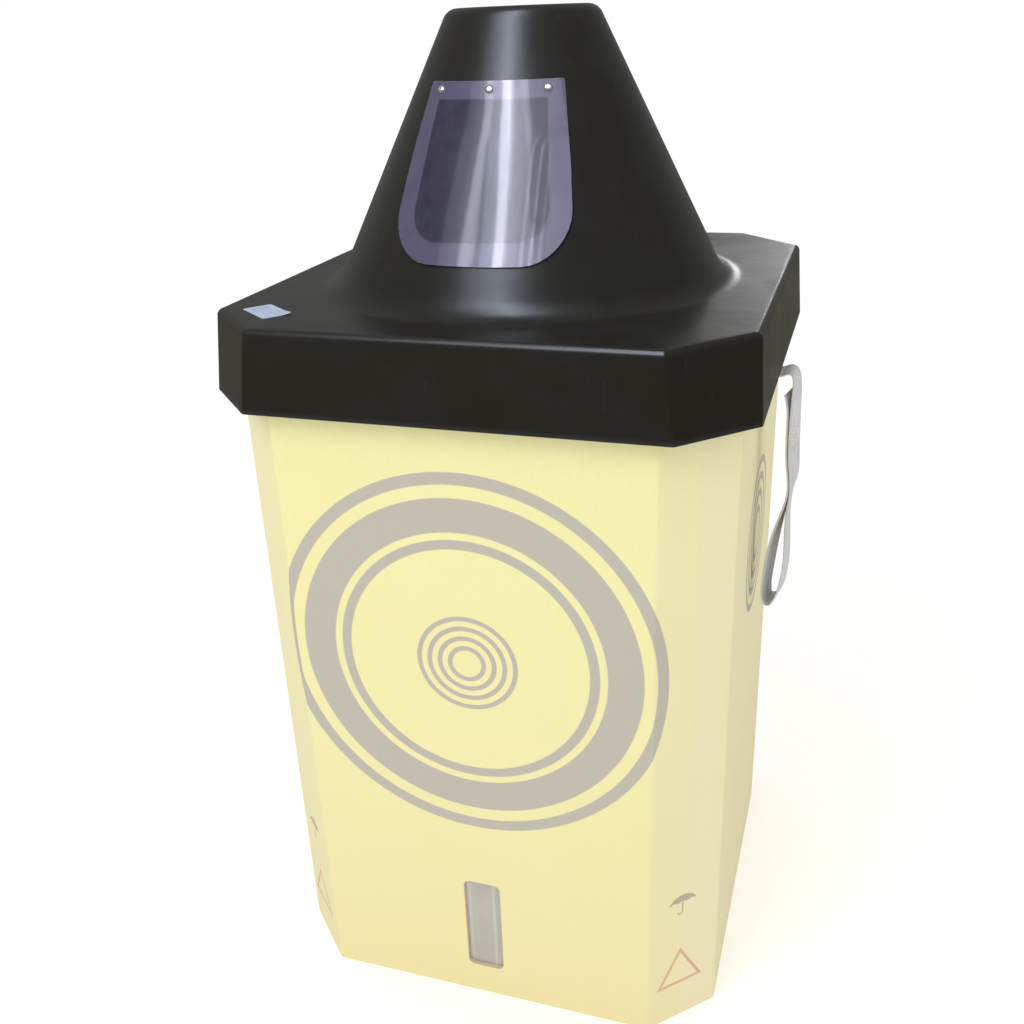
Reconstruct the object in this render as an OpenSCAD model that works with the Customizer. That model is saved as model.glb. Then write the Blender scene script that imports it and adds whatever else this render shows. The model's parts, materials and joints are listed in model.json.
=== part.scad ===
// Bulk welding-wire drum with its cone dispensing hood.
// Millimetres. +Z is up, the sight slot and the window face -Y, and the origin is the centre
// of the drum's base on the floor.

/* [Drum] */
// Width of the drum across its flats
drum_w = 595; // [560:1:620]
// Length that each chamfered corner takes off a side
drum_leg = 75; // [60:1:90]
// Height of the board sleeve
drum_h = 921; // [880:1:960]
// Thickness of the sleeve's board
sleeve_t = 6; // [4:0.5:7]
// Thickness of the inner liner's board
liner_t = 3; // [2:0.5:4]
// Thickness of the base tray
tray_t = 8; // [6:1:12]
// Thickness of the pad that the wire stands on
pad_t = 12; // [10:1:16]
// Width of the sight slot
slot_w = 50; // [40:1:60]
// Height of the sight slot
slot_h = 146; // [120:1:160]
// Height of the sight slot's middle above the floor
slot_z = 120; // [115:1:140]

/* [Wire] */
// Outside diameter of the wire coil
coil_od = 556; // [520:1:560]
// Inside diameter of the wire coil
coil_id = 324; // [322:1:340]
// Height of the wound wire
coil_h = 620; // [500:1:640]
// Outside diameter of the core tube
core_od = 310; // [290:1:316]
// Height of the core tube
core_h = 740; // [700:1:800]
// Diameter of the wire
wire_d = 1.6; // [1.2:0.1:1.6]

/* [Hood] */
// Width of the hood across its flats at the lower edge of its skirt
skirt_low_w = 639; // [632:1:660]
// Width of the hood across its flats at the lid
skirt_top_w = 626; // [620:1:640]
// Length that a chamfer takes off a side at the skirt's lower edge
skirt_low_leg = 78; // [70:1:84]
// Length that a chamfer takes off a side at the lid
skirt_top_leg = 83; // [74:1:88]
// Height of the skirt
skirt_h = 95; // [80:1:110]
// Thickness of the moulded sheet
hood_t = 4; // [3:0.5:5]
// Radius of the lid's outer edge
edge_r = 7; // [5:0.5:9]
// Radius that the cone's straight side would have at the lid
cone_low_r = 241.5; // [230:0.5:250]
// Radius that the cone's straight side would have at its top
cone_top_r = 86.6; // [80:0.2:95]
// Height of the cone above the lid
cone_h = 308; // [290:1:320]
// Radius of the flare where the cone meets the lid
flare_r = 39; // [30:1:45]
// Radius of the shoulder at the cone's top
shoulder_r = 18; // [14:1:22]

/* [Window] */
// Height of the window sheet's upper edge
sheet_top_z = 1160; // [1150:1:1170]
// Height of the window sheet's lower edge
sheet_low_z = 979; // [975:1:990]
// Height of the line that the sheet bends along when it is lifted
fold_z = 1128; // [1120:1:1132]
// Thickness of the window sheet
sheet_t = 1; // [0.8:0.1:1.2]
// Angle round the cone from the middle rivet to each side rivet
rivet_step = 28.5; // [24:0.5:29]
// Height of the rivets
rivet_z = 1151; // [1149:0.5:1152]

/* [Outlet] */
// Radius of the wire outlet's bore
outlet_r = 10; // [8:0.5:12]
// Length of the outlet bush
outlet_len = 43; // [40:1:50]

/* [Straps] */
// Width of the sling's webbing
webbing_w = 40; // [30:1:45]
// Thickness of the sling's webbing
webbing_t = 2.5; // [2:0.1:2.6]
// Distance of the straps' middle in front of the drum's axis
strap_y = 30; // [10:1:40]

/* [Hidden] */
$fn = 96;

gap = 0.3;                        // play between neighbouring pieces
drum_half = drum_w / 2;
pad_top = tray_t + pad_t;
liner_inset = sleeve_t + 3;       // the sling runs in the 3 mm between sleeve and liner
coil_top = pad_top + coil_h;
lid_z = drum_h + hood_t;          // the lid rests on the sleeve's upper edge
skirt_z = lid_z - skirt_h;
cone_z = lid_z + cone_h;
slope = (cone_low_r - cone_top_r) / cone_h;
cone_a = atan(slope);             // the cone's half angle
board_r = 6;                      // fold radius of the board's corners

// sling: where it leaves the drum and where its loops turn
sling_slot_z = 870;
tail_x = drum_half + 6;           // inner face of the webbing that hangs outside the sleeve
pivot_x = drum_half + 28;
pivot_z = skirt_z - 6;
swing_gap = 4.2;                  // the fixed webbing ends this far short of the pivot

// retainer
ring_t = 4;
ring_z = coil_top;
tail_turn_r = 222;                // radius of the parked wire end
tail_start_a = -150;
tail_end_a = -50;

// outlet stack, from the flush flange down
recess_d = 5;
recess_r = 33;
flange_r = 29;
flange_t = 4;
seal_t = recess_d - flange_t;
bush_r = 19.7;
bush_hole_r = 20;
washer_t = 1.5;
nut_h = 10;
chamfer = 1.5;

// rivets
shank_r = 2;
rivet_hole_r = 2.3;
head_r = 4.8;
head_h = 2.4;
rivet_washer_t = 1;

// ---- outlines -------------------------------------------------------------------------

function unit(v) = v / norm(v);

// The arc of radius r that rounds corner b between its neighbours a and c
function corner_arc(a, b, c, r, n) =
    let (u = unit(a - b), w = unit(c - b), half = acos(u * w) / 2,
         centre = b + unit(u + w) * r / sin(half),
         p = b + u * r / tan(half), q = b + w * r / tan(half),
         from = atan2(p.y - centre.y, p.x - centre.x),
         to = atan2(q.y - centre.y, q.x - centre.x),
         sweep = (to - from + 540) % 360 - 180)
    [for (i = [0:n]) centre + r * [cos(from + sweep * i / n), sin(from + sweep * i / n)]];

// A closed outline with every corner rounded, each by its own radius
function rounded(pts, radii, n = 6) =
    let (m = len(pts))
    [for (i = [0:m - 1])
        each corner_arc(pts[(i + m - 1) % m], pts[i], pts[(i + 1) % m], radii[i], n)];

function same(value, count) = [for (i = [1:count]) value];

// Octagon of a square of half width h with its corners cut by leg
function octagon(h, leg) =
    let (k = h - leg) [[k, -h], [h, -k], [h, k], [k, h], [-k, h], [-h, k], [-h, -k], [-k, -h]];

// An octagon moved inwards by inset, all round
function inset_octagon(h, leg, inset, r) =
    rounded(octagon(h - inset, leg - (2 - sqrt(2)) * inset), same(r, 8), 4);

function drum_outline(inset) = inset_octagon(drum_half, drum_leg, inset, max(board_r - inset, 1));

function box_outline(w, h, r) =
    rounded([[-w / 2, -h / 2], [w / 2, -h / 2], [w / 2, h / 2], [-w / 2, h / 2]], same(r, 4));

// Outer radius of the cone's straight side at height z
function cone_r(z) = cone_low_r - slope * (z - lid_z);

// Front outlines of the window sheet and of the opening behind it, as [x, z]
sheet_outline = rounded([[76, sheet_top_z], [-76, sheet_top_z], [-93, 1076], [-108, sheet_low_z],
                         [108, sheet_low_z], [93, 1076]], [3, 3, 300, 46, 46, 300], 8);
opening_outline = rounded([[63, 1142], [-63, 1142], [-82, 1001], [82, 1001]],
                          [6, 6, 34, 34], 8);

// ---- shared shapes --------------------------------------------------------------------

module board_tube(inset, thickness, z, h) {
    translate([0, 0, z]) linear_extrude(h) difference() {
        polygon(drum_outline(inset));
        polygon(drum_outline(inset + thickness));
    }
}

// Cuts through the front wall in the shape of an [x, z] outline, between two depths in Y
module front_cut(outline, y_front, y_back) {
    translate([0, y_back, 0]) rotate([90, 0, 0]) linear_extrude(y_back - y_front) polygon(outline);
}

module sight_slot(grow) {
    translate([0, 0, slot_z])
        front_cut(box_outline(slot_w + 2 * grow, slot_h + 2 * grow, 9 + grow),
                  -drum_half - 1, -drum_half + 20);
}

// Places its children on the cone's outer face, with their +Z along the outward normal
module on_cone(z, turn) {
    rotate([0, 0, turn]) translate([0, -cone_r(z), z]) rotate([90 - cone_a, 0, 0]) children();
}

module at_rivets() {
    for (turn = [-rivet_step, 0, rivet_step]) on_cone(rivet_z, turn) children();
}

// ---- drum -----------------------------------------------------------------------------

module outer_sleeve() {
    color([0.95, 0.93, 0.71]) difference() {
        board_tube(0, sleeve_t, 0, drum_h);
        sight_slot(0);
        for (side = [-1, 1])
            translate([side * (drum_half - sleeve_t / 2), -strap_y, sling_slot_z + webbing_t / 2])
                cube([sleeve_t * 2, webbing_w + 6, webbing_t + 4], center = true);
    }
}

module inner_liner() {
    color([0.82, 0.74, 0.60]) difference() {
        board_tube(liner_inset, liner_t, pad_top, drum_h - 6 - pad_top);
        sight_slot(-2);
    }
}

module base_tray() {
    color([0.75, 0.62, 0.44]) linear_extrude(tray_t) polygon(drum_outline(sleeve_t + gap));
}

module base_pad() {
    color([0.70, 0.64, 0.55]) difference() {
        translate([0, 0, tray_t]) linear_extrude(pad_t) polygon(drum_outline(liner_inset + gap));
        translate([-drum_half, -strap_y - webbing_w / 2 - 1, tray_t - 1])
            cube([drum_w, webbing_w + 2, webbing_t + 1.1]);
    }
}

module core_tube() {
    color([0.72, 0.58, 0.40]) translate([0, 0, pad_top]) difference() {
        cylinder(d = core_od, h = core_h);
        translate([0, 0, -1]) cylinder(d = core_od - 10, h = core_h + 2);
    }
}

module wire_coil() {
    color([0.78, 0.48, 0.33]) translate([0, 0, pad_top]) difference() {
        cylinder(d = coil_od, h = coil_h);
        translate([0, 0, -1]) cylinder(d = coil_id, h = coil_h + 2);
    }
}

module sight_film() {
    color([0.78, 0.76, 0.72]) translate([0, 0, slot_z])
        front_cut(box_outline(slot_w + 24, slot_h + 24, 6),
                  -drum_half + sleeve_t + 0.2, -drum_half + sleeve_t + 0.8);
}

// One side of the sling, from the floor of the drum up its wall, out through the sleeve
// and down to the edge of the hood
module sling_side() {
    inner_x = drum_half - sleeve_t - gap - webbing_t;
    translate([0, -strap_y - webbing_w / 2, 0]) {
        translate([inner_x, 0, tray_t]) cube([webbing_t, webbing_w, sling_slot_z - tray_t]);
        translate([inner_x, 0, sling_slot_z])
            cube([tail_x + webbing_t - inner_x, webbing_w, webbing_t]);
        translate([tail_x, 0, pivot_z - webbing_t / 2])
            cube([webbing_t, webbing_w, sling_slot_z + webbing_t - pivot_z]);
        translate([tail_x, 0, pivot_z - webbing_t / 2])
            cube([pivot_x - swing_gap - tail_x, webbing_w, webbing_t]);
    }
}

module sling_belt() {
    color([0.75, 0.73, 0.72]) {
        sling_side();
        mirror([1, 0, 0]) sling_side();
        translate([-drum_half + sleeve_t + 1, -strap_y - webbing_w / 2, tray_t])
            cube([drum_w - 2 * sleeve_t - 2, webbing_w, webbing_t]);
    }
}

// ---- retainer on top of the wire --------------------------------------------------------

module retainer_ring() {
    guide_reach = drum_half - liner_inset - liner_t - 1.5;
    color([0.16, 0.16, 0.17]) translate([0, 0, ring_z]) difference() {
        union() {
            cylinder(r = 264, h = ring_t);
            for (turn = [0:90:270]) rotate([0, 0, turn])
                translate([0, -35, 0]) cube([guide_reach, 70, ring_t]);
        }
        translate([0, 0, -1]) cylinder(r = 176, h = ring_t + 2);
        rotate([0, 0, tail_start_a]) translate([tail_turn_r, 0, -1]) cylinder(r = 4, h = ring_t + 2);
    }
}

module wire_tail() {
    z = ring_z + ring_t + wire_d / 2 + 0.1;
    color([0.80, 0.48, 0.32]) {
        rotate([0, 0, tail_start_a]) {
            translate([0, 0, z]) rotate_extrude(angle = tail_end_a - tail_start_a)
                translate([tail_turn_r, 0]) circle(d = wire_d, $fn = 16);
            translate([tail_turn_r, 0, ring_z + gap]) cylinder(d = wire_d, h = z - ring_z - gap);
            translate([tail_turn_r, 0, z]) sphere(d = wire_d);
        }
    }
}

module tail_clips() {
    z = ring_z + ring_t;
    color([0.85, 0.85, 0.83]) for (turn = [-125, -60]) rotate([0, 0, turn])
        translate([tail_turn_r, 0, z]) difference() {
            union() {
                translate([-12, -6, 0]) cube([24, 12, 1.5]);
                translate([-3.5, -6, 0]) cube([7, 12, 4.5]);
            }
            translate([-1.2, -7, -1]) cube([2.4, 14, 3.2]);
        }
}

// ---- hood -------------------------------------------------------------------------------

// Thin octagonal slice of the skirt's outer form, moved inwards by inset
module skirt_slice(z, inset, t = 0.01) {
    rise = (z - skirt_z) / skirt_h;
    half = (skirt_low_w + (skirt_top_w - skirt_low_w) * rise) / 2;
    leg = skirt_low_leg + (skirt_top_leg - skirt_low_leg) * rise;
    translate([0, 0, z - t]) linear_extrude(t)
        polygon(inset_octagon(half, leg, inset, max(edge_r - inset, 1.5)));
}

// Solid of the skirt and lid, with the lid's edge rounded, inset all round by inset
module skirt_solid(inset, z_low, r) {
    hull() {
        skirt_slice(z_low, inset);
        for (a = [0:15:90])
            skirt_slice(lid_z - inset - r * (1 - sin(a)), inset + r * (1 - cos(a)));
    }
}

// Outer and inner edges of the cone's wall, as [radius, z]
function cone_outer() = concat(
    [[cone_low_r + flare_r, lid_z]],
    corner_arc([cone_low_r + flare_r, lid_z], [cone_low_r, lid_z], [cone_top_r, cone_z],
               flare_r, 14),
    corner_arc([cone_low_r, lid_z], [cone_top_r, cone_z], [recess_r, cone_z], shoulder_r, 12),
    [[recess_r + 1, cone_z], [recess_r, cone_z - recess_d], [bush_hole_r, cone_z - recess_d]]);

function cone_inner() =
    let (low = [cone_low_r - hood_t / cos(cone_a) + slope * hood_t, lid_z - hood_t],
         top = [cone_top_r - hood_t / cos(cone_a) + slope * hood_t, cone_z - hood_t])
    concat([[cone_low_r + flare_r, lid_z - hood_t]],
           corner_arc([cone_low_r + flare_r, low.y], low, top, flare_r + hood_t, 14),
           corner_arc(low, top, [recess_r, top.y], shoulder_r - hood_t, 12),
           [[recess_r + hood_t + 1, top.y], [recess_r + hood_t, top.y - recess_d],
            [bush_hole_r, top.y - recess_d]]);

function reversed(v) = [for (i = [len(v) - 1:-1:0]) v[i]];

module hood_shell() {
    color([0.11, 0.10, 0.10]) difference() {
        union() {
            difference() {
                skirt_solid(0, skirt_z + 0.01, edge_r);
                skirt_solid(hood_t, skirt_z - 1, edge_r - hood_t);
                translate([0, 0, lid_z - 20]) cylinder(r = cone_low_r + flare_r - 2, h = 40);
            }
            rotate_extrude($fn = 180) polygon(concat(cone_outer(), reversed(cone_inner())));
        }
        front_cut(opening_outline, -250, -50);
        at_rivets() translate([0, 0, -20]) cylinder(r = rivet_hole_r, h = 40);
    }
}

// The clear sheet wrapped on the cone between two heights, lifted off the cone's face
module window_sheet(z_low, z_high, lift) {
    function face(z, out) = [cone_r(z) + (lift + out) / cos(cone_a), z];
    intersection() {
        rotate_extrude($fn = 180)
            polygon([face(z_low, 0), face(z_low, sheet_t), face(z_high, sheet_t), face(z_high, 0)]);
        front_cut(sheet_outline, -300, -20);
    }
}

module window_strip() {
    color([0.80, 0.80, 0.88, 0.5]) difference() {
        window_sheet(fold_z + gap, sheet_top_z + 5, gap);
        at_rivets() translate([0, 0, -20]) cylinder(r = rivet_hole_r, h = 40);
    }
}

// The flap stands just proud of the strip, so that its upper edge clears it as it lifts
module window_flap() {
    color([0.70, 0.70, 0.80, 0.5])
        window_sheet(sheet_low_z - 5, fold_z - gap, sheet_t + 2 * gap);
}

module window_rivets() {
    seat = gap + sheet_t + 0.1;
    tail = -hood_t - rivet_washer_t - 0.4;
    ball_r = (head_r * head_r + head_h * head_h) / (2 * head_h);
    color([0.85, 0.85, 0.86]) at_rivets() {
        translate([0, 0, tail]) cylinder(r = shank_r, h = seat - tail + 0.5);
        intersection() {
            translate([0, 0, seat + head_h - ball_r]) sphere(r = ball_r);
            translate([0, 0, seat]) cylinder(r = head_r, h = head_h + 1);
        }
        translate([0, 0, tail - 1.4]) cylinder(r = 3.4, h = 1.4);
    }
}

module rivet_washers() {
    color([0.70, 0.71, 0.72]) at_rivets()
        translate([0, 0, -hood_t - rivet_washer_t - 0.3]) difference() {
            cylinder(r = 6, h = rivet_washer_t);
            translate([0, 0, -1]) cylinder(r = rivet_hole_r, h = rivet_washer_t + 2);
        }
}

module lid_label() {
    color([0.72, 0.76, 0.85]) translate([-244, -235, lid_z]) rotate([0, 0, -38])
        linear_extrude(0.4) polygon(box_outline(62, 35, 3));
}

// ---- wire outlet ------------------------------------------------------------------------

module outlet_bush() {
    color([0.15, 0.15, 0.16]) translate([0, 0, cone_z]) difference() {
        union() {
            translate([0, 0, -outlet_len]) cylinder(r = bush_r, h = outlet_len);
            translate([0, 0, -flange_t]) cylinder(r = flange_r, h = flange_t);
        }
        translate([0, 0, -outlet_len - 1]) cylinder(r = outlet_r, h = outlet_len + 2);
        translate([0, 0, -chamfer])
            cylinder(r1 = outlet_r, r2 = outlet_r + chamfer + 0.5, h = chamfer + 0.5);
        translate([0, 0, -outlet_len - 0.5])
            cylinder(r1 = outlet_r + chamfer + 0.5, r2 = outlet_r, h = chamfer + 0.5);
    }
}

module outlet_ring(z, inner_r, outer_r, h) {
    translate([0, 0, z]) difference() {
        cylinder(r = outer_r, h = h);
        translate([0, 0, -1]) cylinder(r = inner_r, h = h + 2);
    }
}

module outlet_seal() {
    color([0.10, 0.10, 0.10])
        outlet_ring(cone_z - recess_d, bush_hole_r, flange_r, seal_t);
}

module outlet_washer() {
    color([0.66, 0.67, 0.69])
        outlet_ring(cone_z - recess_d - hood_t - washer_t, bush_hole_r, flange_r + 1, washer_t);
}

module outlet_nut() {
    nut_z = cone_z - recess_d - hood_t - washer_t - nut_h;
    color([0.18, 0.18, 0.19]) difference() {
        translate([0, 0, nut_z]) cylinder(r = 29, h = nut_h, $fn = 6);
        translate([0, 0, nut_z - 1]) cylinder(r = bush_r + 0.05, h = nut_h + 2);
    }
}

// ---- lifting straps -----------------------------------------------------------------------

// Outline of a strap's doubled upper run and of the loop under it, as [x, z]
strap_run = rounded([[346.5, 812], [332.5, 812], [332.5, 735], [338, 716], [325, 640],
                     [309, 528], [316, 510], [332, 512], [344.5, 545], [346.5, 716]],
                    [5, 3, 8, 30, 60, 8, 8, 14, 40, 60], 5);
strap_eye = rounded([[337.5, 662], [315.5, 530], [319, 519], [329, 520], [340.5, 548]],
                    [2, 5, 3, 6, 30], 5);

module strap_loop() {
    arch_r = 9.5;
    arch_x = pivot_x + arch_r;
    translate([0, -strap_y + webbing_w / 2, 0]) rotate([90, 0, 0]) linear_extrude(webbing_w) {
        difference() {
            polygon(strap_run);
            polygon(strap_eye);
        }
        translate([arch_x, pivot_z]) difference() {
            circle(r = arch_r + webbing_t / 2);
            circle(r = arch_r - webbing_t / 2);
            translate([-20, -40]) square([40, 40]);
        }
        translate([pivot_x, pivot_z]) circle(d = webbing_t, $fn = 32);
        translate([arch_x + arch_r - webbing_t / 2, 805])
            square([webbing_t, pivot_z - 804.99]);
    }
}

module strap_right() {
    color([0.74, 0.73, 0.72]) strap_loop();
}

module strap_left() {
    color([0.74, 0.73, 0.72]) mirror([1, 0, 0]) strap_loop();
}

outer_sleeve();
inner_liner();
base_tray();
base_pad();
core_tube();
wire_coil();
sight_film();
sling_belt();
retainer_ring();
wire_tail();
tail_clips();
hood_shell();
window_strip();
window_flap();
window_rivets();
rivet_washers();
lid_label();
outlet_bush();
outlet_seal();
outlet_washer();
outlet_nut();
strap_right();
strap_left();
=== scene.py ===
import json
from functools import reduce
from math import atan, atan2, copysign, cos, degrees, exp, hypot, pi, radians, sin, sqrt, tan

import bmesh
import bpy
import numpy as np
from mathutils import Matrix, Vector, noise

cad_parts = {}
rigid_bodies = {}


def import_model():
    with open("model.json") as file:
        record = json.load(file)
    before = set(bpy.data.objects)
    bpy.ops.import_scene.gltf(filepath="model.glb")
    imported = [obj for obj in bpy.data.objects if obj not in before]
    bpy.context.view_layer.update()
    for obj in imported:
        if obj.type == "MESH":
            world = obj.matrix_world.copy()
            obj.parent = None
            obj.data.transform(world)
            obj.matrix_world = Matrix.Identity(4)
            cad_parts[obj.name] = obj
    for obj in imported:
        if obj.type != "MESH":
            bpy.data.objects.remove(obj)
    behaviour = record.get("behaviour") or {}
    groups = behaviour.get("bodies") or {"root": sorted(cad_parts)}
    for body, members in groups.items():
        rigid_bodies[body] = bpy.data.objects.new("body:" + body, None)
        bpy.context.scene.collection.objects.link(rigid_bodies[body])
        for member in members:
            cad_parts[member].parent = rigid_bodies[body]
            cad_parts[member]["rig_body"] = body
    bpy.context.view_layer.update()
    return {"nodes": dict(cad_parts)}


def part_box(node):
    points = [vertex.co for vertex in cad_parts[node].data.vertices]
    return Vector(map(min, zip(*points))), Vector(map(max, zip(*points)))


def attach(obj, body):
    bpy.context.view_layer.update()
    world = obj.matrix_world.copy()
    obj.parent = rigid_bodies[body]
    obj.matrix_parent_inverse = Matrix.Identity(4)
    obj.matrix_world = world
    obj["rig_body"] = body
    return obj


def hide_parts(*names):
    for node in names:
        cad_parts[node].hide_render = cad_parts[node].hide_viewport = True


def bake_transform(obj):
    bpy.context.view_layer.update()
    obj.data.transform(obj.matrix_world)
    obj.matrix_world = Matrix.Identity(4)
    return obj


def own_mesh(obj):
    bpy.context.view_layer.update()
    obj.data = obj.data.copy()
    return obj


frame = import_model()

# Looks for the octagonal wire drum and its dispensing hood. Metres, +Z up, window towards -Y.

MM = 0.001
ROOT2 = sqrt(2)


# ---- measures, read back from the frame ----

_, sleeve_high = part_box("outer_sleeve")
hood_low, hood_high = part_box("hood_shell")
coil_low, coil_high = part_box("wire_coil")

DRUM_HALF, DRUM_TOP = sleeve_high.x, sleeve_high.z
DRUM_LEG, SLEEVE_T = 0.075, 0.006
PRINT_Z = 0.530  # height of the printed rings' centre, which is v = 0
COIL_V = 0.065  # centre of the coil of circles on the sides
SIDE_SHIFT = 2.0  # how far along u the print of the two side faces lies from the front's
HOOD_T = 0.004
LID_Z = DRUM_TOP + HOOD_T
CONE_Z, SKIRT_Z, SKIRT_LOW_HALF = hood_high.z, hood_low.z, hood_high.x
SKIRT_TOP_HALF = SKIRT_LOW_HALF - 0.0065
SKIRT_LOW_LEG, SKIRT_TOP_LEG = 0.078, 0.083
EDGE_R = 0.007
CONE_LOW_R, CONE_TOP_R = 0.2415, 0.0866
SLOPE = (CONE_LOW_R - CONE_TOP_R) / (CONE_Z - LID_Z)
CONE_A = atan(SLOPE)
FLARE_R, SHOULDER_R = 0.039, 0.018
RECESS_R, RECESS_D, BUSH_HOLE_R = 0.033, 0.005, 0.020
SLOT_Z, SLOT_W, SLOT_H = 0.120, 0.050, 0.146
# the window's opening, as half widths at its foot and head, and its lower corners' radius
OPENING_LOW_Z, OPENING_TOP_Z = 1.001, 1.142
OPENING_LOW_HALF, OPENING_TOP_HALF, OPENING_R = 0.082, 0.063, 0.034
SHEET_LOW_HALF, SHEET_T = 0.108, 0.001
RIVET_Z, RIVET_TURN, RIVET_HOLE_R = 1.151, 28.5, 0.0023
LABEL_W, LABEL_H, LABEL_PLACE = 0.062, 0.035, (-0.244, -0.235, 0)
STRAP_Y, SLING_SLOT_Z, PIVOT_Z = -0.030, 0.8713, 0.824
COIL_LOW, COIL_TOP, COIL_R = coil_low.z, coil_high.z, coil_high.x

# light: the sky as matt and as glossy surfaces see it, the floor's glow, and lamps in watts
SKY, GLOSSY_SKY, FLOOR_GLOW = 0.80, 0.28, 0.25
KEY_POWER = 22


def scaled(color, factor):
    return tuple(min(1, c * factor) for c in color)


def cone_r(z):
    """Outer radius of the cone's straight wall at height z."""
    return CONE_LOW_R - SLOPE * (z - LID_Z)


# ---- node trees written as formulas ----

def feed(tree, socket, source):
    """Links a node's input to a value or an output, or sets it to a constant."""
    source = source.socket if isinstance(source, Value) else source
    if isinstance(source, bpy.types.NodeSocket):
        tree.links.new(source, socket)
    else:
        socket.default_value = source


class Value:
    """A number in a node tree, so that a pattern can be written as a formula."""

    def __init__(self, tree, socket):
        self.tree, self.socket = tree, socket

    def math(self, operation, *others, clamp=False):
        node = self.tree.nodes.new("ShaderNodeMath")
        node.operation, node.use_clamp = operation, clamp
        for place, value in enumerate((self,) + others):
            feed(self.tree, node.inputs[place], value)
        return Value(self.tree, node.outputs[0])

    def __add__(self, other): return self.math("ADD", other)
    def __sub__(self, other): return self.math("SUBTRACT", other)
    def __mul__(self, other): return self.math("MULTIPLY", other)
    def __neg__(self): return self.math("MULTIPLY", -1.0)

    def sqrt(self): return self.math("SQRT")
    def abs(self): return self.math("ABSOLUTE")
    def sin(self): return self.math("SINE")
    def fract(self): return self.math("FRACT")
    def most(self, other): return self.math("MAXIMUM", other)
    def clamp(self): return self.math("MULTIPLY", 1.0, clamp=True)
    def flipped(self): return self * -1.0 + 1.0
    def reach(self, other): return (self * self + other * other).sqrt()

    def above(self, level, soft):
        """0 below level and 1 above it, with an edge that is soft wide."""
        return (self - level).math("DIVIDE", soft).math("ADD", 0.5, clamp=True)

    def between(self, low, high, soft):
        return self.above(low, soft) * (-self).above(-high, soft)


class Finish:
    """One material: a Principled shader with its colour, roughness and relief."""

    def __init__(self, name, color, rough, specular=0.5, slot=None, **sockets):
        self.slot = slot or name  # the record's material slot
        self.material = bpy.data.materials.new(name)
        self.material.use_nodes = True
        self.tree = self.material.node_tree
        self.shader = self.tree.nodes["Principled BSDF"]
        self.start, self.color, self.normal = color, (*color, 1), None
        self.set("Base Color", self.color)
        self.set("Roughness", rough)
        self.set("Specular IOR Level", specular)
        for socket, value in sockets.items():
            self.set(socket.replace("_", " "), value)

    def set(self, name, source):
        """Sets or links one of the shader's inputs."""
        feed(self.tree, self.shader.inputs[name], source)

    def node(self, kind, **inputs):
        made = self.tree.nodes.new("ShaderNode" + kind)
        for name, source in inputs.items():
            feed(self.tree, made.inputs[name], source)
        return made

    def output(self, kind, name):
        return Value(self.tree, self.node(kind).outputs[name])

    def place(self, kind="Object"):
        """The point's own x, y, z in the part's frame, or its u, v."""
        split = self.node("SeparateXYZ", Vector=self.output("TexCoord", kind))
        return [Value(self.tree, out) for out in split.outputs]

    def noise(self, scale, detail=4.0, stretch=(1, 1, 1)):
        mapping = self.node("Mapping", Scale=stretch, Vector=self.output("TexCoord", "Object"))
        grain = self.node("TexNoise", Scale=scale, Detail=detail, Roughness=0.55,
                          Vector=mapping.outputs[0])
        return Value(self.tree, grain.outputs[0])

    def pattern(self, what):
        """A value as it is, or the noise of a (scale, detail) pair."""
        return self.noise(*what) if isinstance(what, tuple) else what

    def paint(self, color, amount):
        """Mixes color over what is there, by amount."""
        mix = self.node("Mix")
        mix.data_type = "RGBA"
        for name, source in (("A", self.color), ("B", (*color, 1)), ("Factor", amount)):
            feed(self.tree, mix.inputs[name], source)
        self.color = mix.outputs["Result"]
        self.set("Base Color", self.color)

    def tint(self, dark, light, amount):
        """Scales between a darker and a lighter version of the start colour."""
        amount = self.pattern(amount)
        self.paint(scaled(self.start, dark), amount.flipped().clamp())
        self.paint(scaled(self.start, light), (amount - 0.5).clamp())

    def roughness(self, base, change, amount):
        self.set("Roughness", self.pattern(amount) * change + base)

    def relief(self, height, depth):
        """Bumps the surface by height (0 to 1) times depth in metres."""
        bump = self.node("Bump", Strength=1.0, Distance=depth, Height=self.pattern(height))
        if self.normal:
            feed(self.tree, bump.inputs["Normal"], self.normal)
        self.normal = bump.outputs[0]
        self.set("Normal", self.normal)

    def edges(self):
        """1 on outer edges, 0 elsewhere."""
        return self.output("NewGeometry", "Pointiness").above(0.56, 0.06)


# ---- meshes ----

def place_in_scene(name, data):
    made = bpy.data.objects.new(name, data)
    bpy.context.scene.collection.objects.link(made)
    return made


def add_object(name, points, faces):
    mesh = bpy.data.meshes.new(name)
    mesh.from_pydata([tuple(p) for p in points], [], faces)
    mesh.validate()
    made = place_in_scene(name, mesh)
    mark_sharp(made)
    return made


def mark_sharp(piece, angle=0.6):
    """Smooth faces, with edges sharper than angle left crisp."""
    work = bmesh.new()
    work.from_mesh(piece.data)
    bmesh.ops.recalc_face_normals(work, faces=work.faces)
    for face in work.faces:
        face.smooth = True
    for edge in work.edges:
        edge.smooth = len(edge.link_faces) == 2 and edge.calc_face_angle(0) < angle
    work.to_mesh(piece.data)
    work.free()


def band_faces(rows, columns, wrap_rows=False, wrap_columns=True):
    """Quads of a grid of points, row by row."""
    row_count = rows if wrap_rows else rows - 1
    column_count = columns if wrap_columns else columns - 1
    return [(r * columns + c, r * columns + (c + 1) % columns,
             (r + 1) % rows * columns + (c + 1) % columns, (r + 1) % rows * columns + c)
            for r in range(row_count) for c in range(column_count)]


def tube_faces(rings, sides, first=0):
    """A closed tube's quads and its two end faces, counted from vertex first."""
    ends = [tuple(range(sides))[::-1], tuple(range((rings - 1) * sides, rings * sides))]
    return [tuple(i + first for i in face) for face in band_faces(rings, sides) + ends]


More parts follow.
